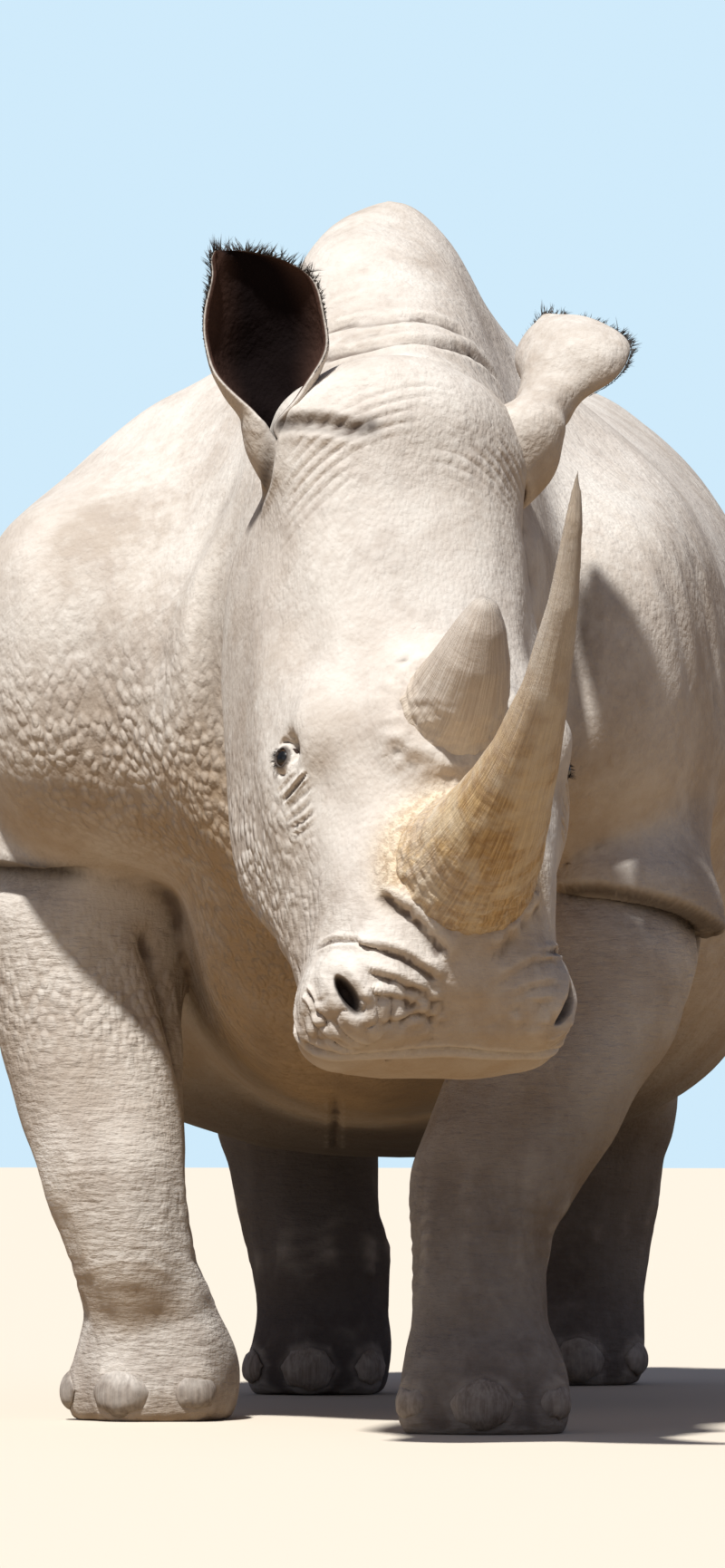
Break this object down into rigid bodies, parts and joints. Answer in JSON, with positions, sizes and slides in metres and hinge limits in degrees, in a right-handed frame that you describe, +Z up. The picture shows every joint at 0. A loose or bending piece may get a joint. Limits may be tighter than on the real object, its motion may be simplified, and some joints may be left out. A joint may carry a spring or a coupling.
{
  "type": "rhinoceros model",
  "caption": "Life-size standing model of an adult southern white rhinoceros, head low and turned, one forefoot ahead, standing on flat soles.",
  "frame": {"origin": "on the floor under the centre of the model's outer box", "axes": "+Z up; the animal faces -Y with its tail towards +Y; +X is the animal's left"},
  "size_m": [1.2114, 3.5906, 1.7829],
  "materials": {
    "hide": "dry, dusty, deeply wrinkled hide",
    "horn": "fibrous, matt, worn smooth towards the tip",
    "eye": "wet gloss, near black",
    "toenail": "matt, scuffed, finely grooved"
  },
  "bodies": {
    "root": {"chest": "hide", "trunk": "hide", "neck": "hide", "head": "hide", "lower_jaw": "hide", "tail": "hide", "ear_left": "hide", "ear_right": "hide", "forearm_left": "hide", "foreleg_left": "hide", "forefoot_left": "hide", "thigh_left": "hide", "hindleg_left": "hide", "hindfoot_left": "hide", "forearm_right": "hide", "foreleg_right": "hide", "forefoot_right": "hide", "thigh_right": "hide", "hindleg_right": "hide", "hindfoot_right": "hide", "horn_front": "horn", "horn_rear": "horn", "eye_left": "eye", "eye_right": "eye", "nail_forefoot_left_inner": "toenail", "nail_forefoot_left_middle": "toenail", "nail_forefoot_left_outer": "toenail", "nail_forefoot_right_inner": "toenail", "nail_forefoot_right_middle": "toenail", "nail_forefoot_right_outer": "toenail", "nail_hindfoot_left_inner": "toenail", "nail_hindfoot_left_middle": "toenail", "nail_hindfoot_left_outer": "toenail", "nail_hindfoot_right_inner": "toenail", "nail_hindfoot_right_middle": "toenail", "nail_hindfoot_right_outer": "toenail"}
  },
  "joints": []
}
